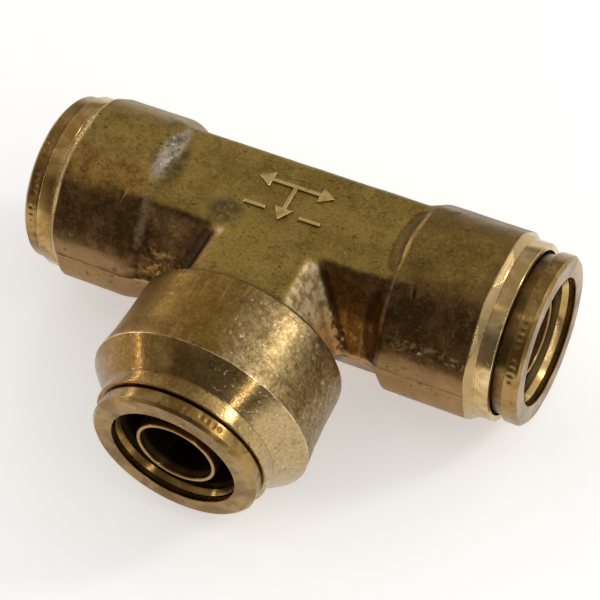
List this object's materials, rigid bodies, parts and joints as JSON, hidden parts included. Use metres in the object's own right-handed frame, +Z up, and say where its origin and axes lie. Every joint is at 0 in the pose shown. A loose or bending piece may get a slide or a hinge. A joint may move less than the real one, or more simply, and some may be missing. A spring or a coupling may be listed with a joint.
{
  "type": "push-to-connect union tee",
  "caption": "Brass push-to-connect tee that joins three lengths of tube; each port has a sliding release button, a gripping collet and ring, a seal and a tube support.",
  "frame": {"origin": "bottom centre of the bounding box; the three port axes cross 15.17 mm above it, 0.65 mm to -X and 11.25 mm to +Y", "axes": "+X is along the run towards the right port, -Y is out of the branch port, +Z is up out of the marked flat"},
  "size_m": [0.0712, 0.0474, 0.0303],
  "materials": {
    "forged_brass": "as forged, aged olive skin",
    "machined_brass": "turned, lightly tarnished",
    "turned_brass": "turned, bright",
    "stainless": "spring temper strip",
    "acetal": "moulded",
    "nitrile": "moulded"
  },
  "bodies": {
    "body": {"tee_body": "forged_brass", "left_retainer_sleeve": "turned_brass", "left_grab_ring": "stainless", "left_spacer_ring": "acetal", "left_o_ring": "nitrile", "left_tube_support": "turned_brass", "right_retainer_sleeve": "turned_brass", "right_grab_ring": "stainless", "right_spacer_ring": "acetal", "right_o_ring": "nitrile", "right_tube_support": "turned_brass", "branch_retainer_sleeve": "turned_brass", "branch_grab_ring": "stainless", "branch_spacer_ring": "acetal", "branch_o_ring": "nitrile", "branch_tube_support": "turned_brass"},
    "left_button": {"left_release_button": "machined_brass", "left_collet": "turned_brass"},
    "right_button": {"right_release_button": "machined_brass", "right_collet": "turned_brass"},
    "branch_button": {"branch_release_button": "machined_brass", "branch_collet": "turned_brass"}
  },
  "joints": [
    {"name": "left_button_slide", "type": "slide", "parent": "body", "child": "left_button", "axis": [1, 0, 0], "range_m": [-0.0013, 0.0001]},
    {"name": "right_button_slide", "type": "slide", "parent": "body", "child": "right_button", "axis": [-1, 0, 0], "range_m": [0, 0.0014]},
    {"name": "branch_button_slide", "type": "slide", "parent": "body", "child": "branch_button", "axis": [0, 1, 0], "range_m": [-0.0013, 0.0001]}
  ]
}
